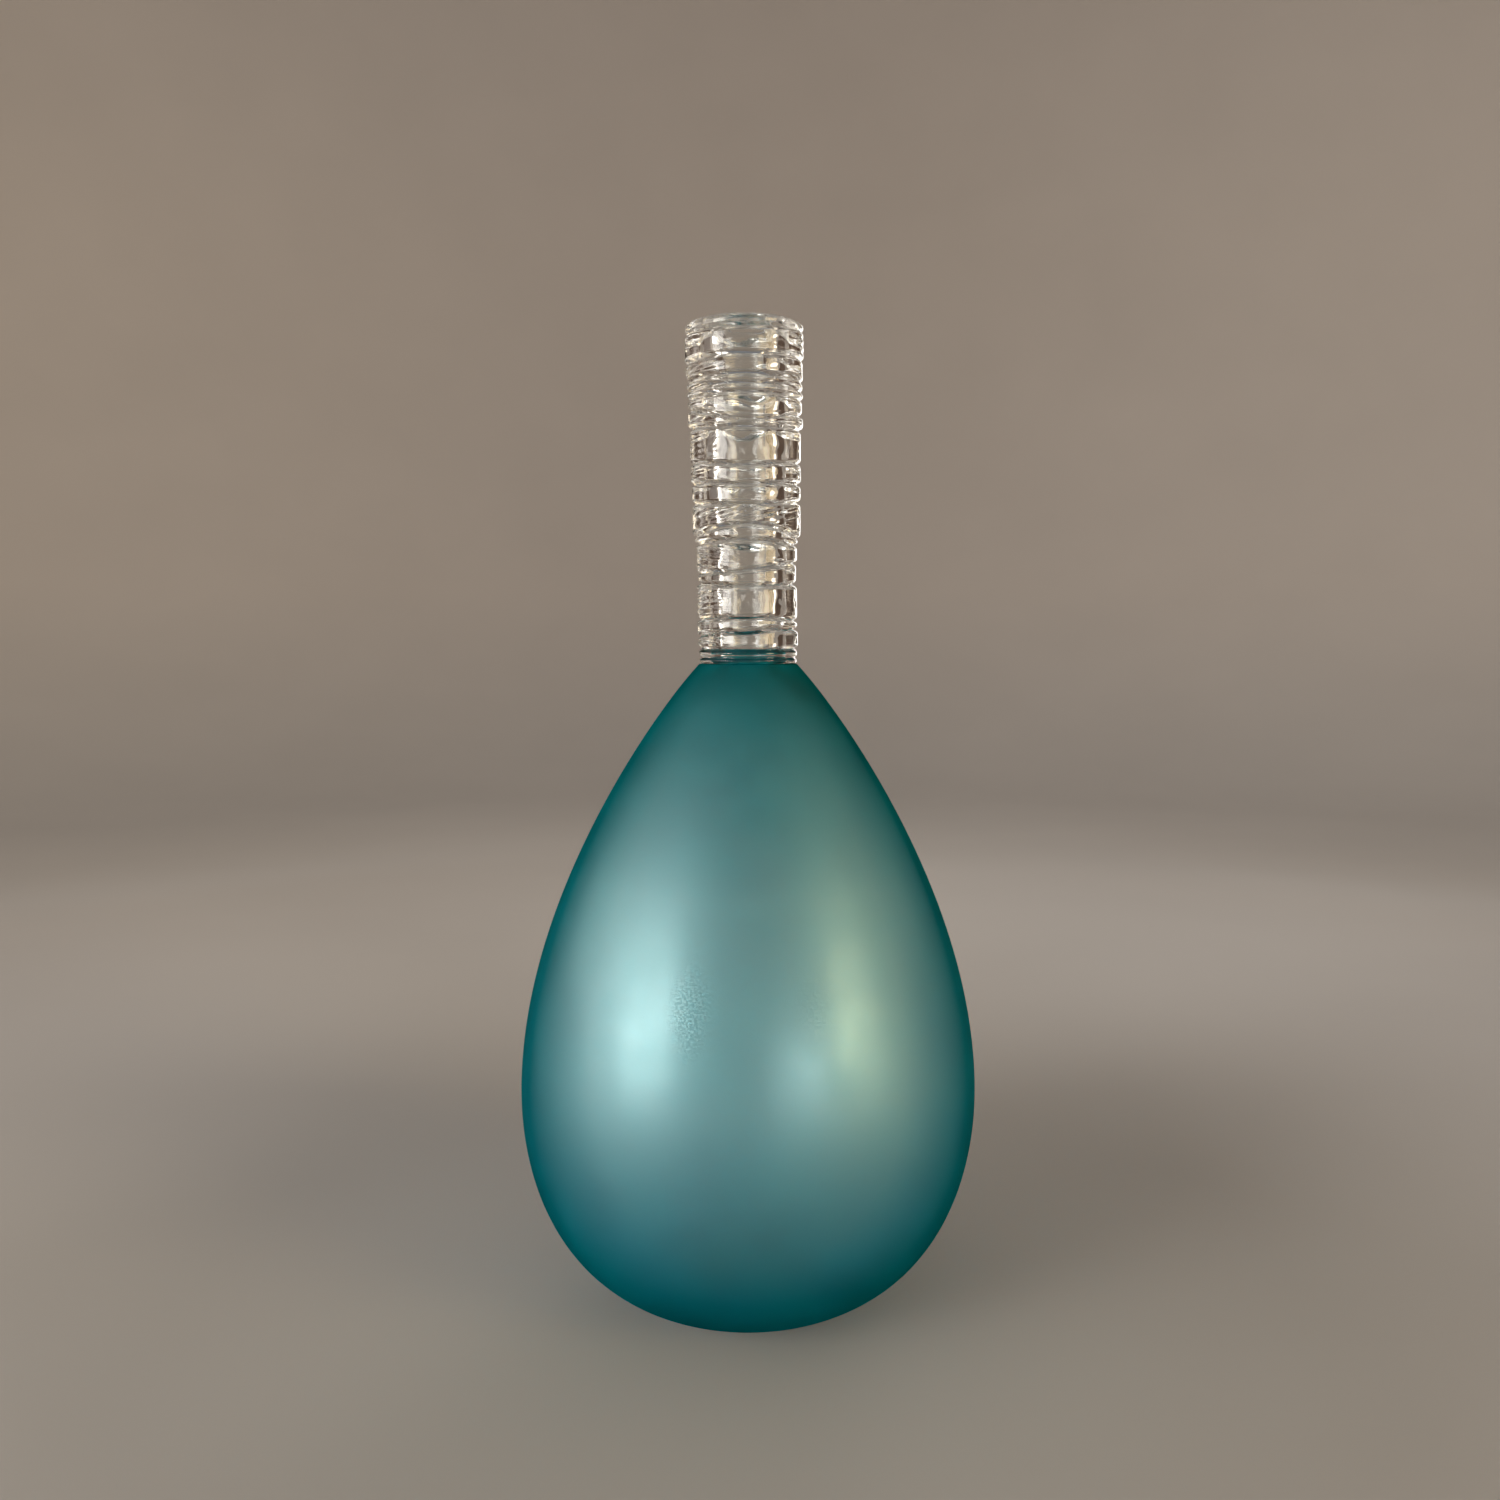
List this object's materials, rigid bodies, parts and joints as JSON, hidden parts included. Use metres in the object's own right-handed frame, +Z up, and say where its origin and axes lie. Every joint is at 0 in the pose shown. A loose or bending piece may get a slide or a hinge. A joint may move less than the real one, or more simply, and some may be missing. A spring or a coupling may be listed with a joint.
{
  "type": "hand blown glass vase",
  "caption": "Tall hand-blown vase: frosted teal teardrop bulb under a thick clear glass neck wound with irregular trails, open bore.",
  "frame": {"origin": "centre of the flat ground foot, at the bottom of the vase", "axes": "+Z up along the bulb's axis; -Y is the front that the picture shows"},
  "size_m": [0.2396, 0.2396, 0.51],
  "materials": {
    "frosted_teal_glass": "acid-etched satin teal glass, translucent, soft broad highlights",
    "clear_glass": "clear fire-polished hot-worked glass"
  },
  "bodies": {
    "root": {"bulb_shell": "frosted_teal_glass", "neck_tube": "clear_glass", "collar_wrap": "clear_glass", "trail_wrap_01": "clear_glass", "trail_wrap_02": "clear_glass", "trail_wrap_03": "clear_glass", "trail_wrap_04": "clear_glass", "trail_wrap_05": "clear_glass", "trail_wrap_06": "clear_glass", "trail_wrap_07": "clear_glass", "trail_wrap_08": "clear_glass", "trail_wrap_09": "clear_glass", "trail_wrap_10": "clear_glass", "trail_wrap_11": "clear_glass", "trail_wrap_12": "clear_glass", "trail_wrap_13": "clear_glass", "trail_wrap_14": "clear_glass", "trail_wrap_15": "clear_glass", "trail_wrap_16": "clear_glass", "lip_wrap": "clear_glass"}
  },
  "joints": []
}
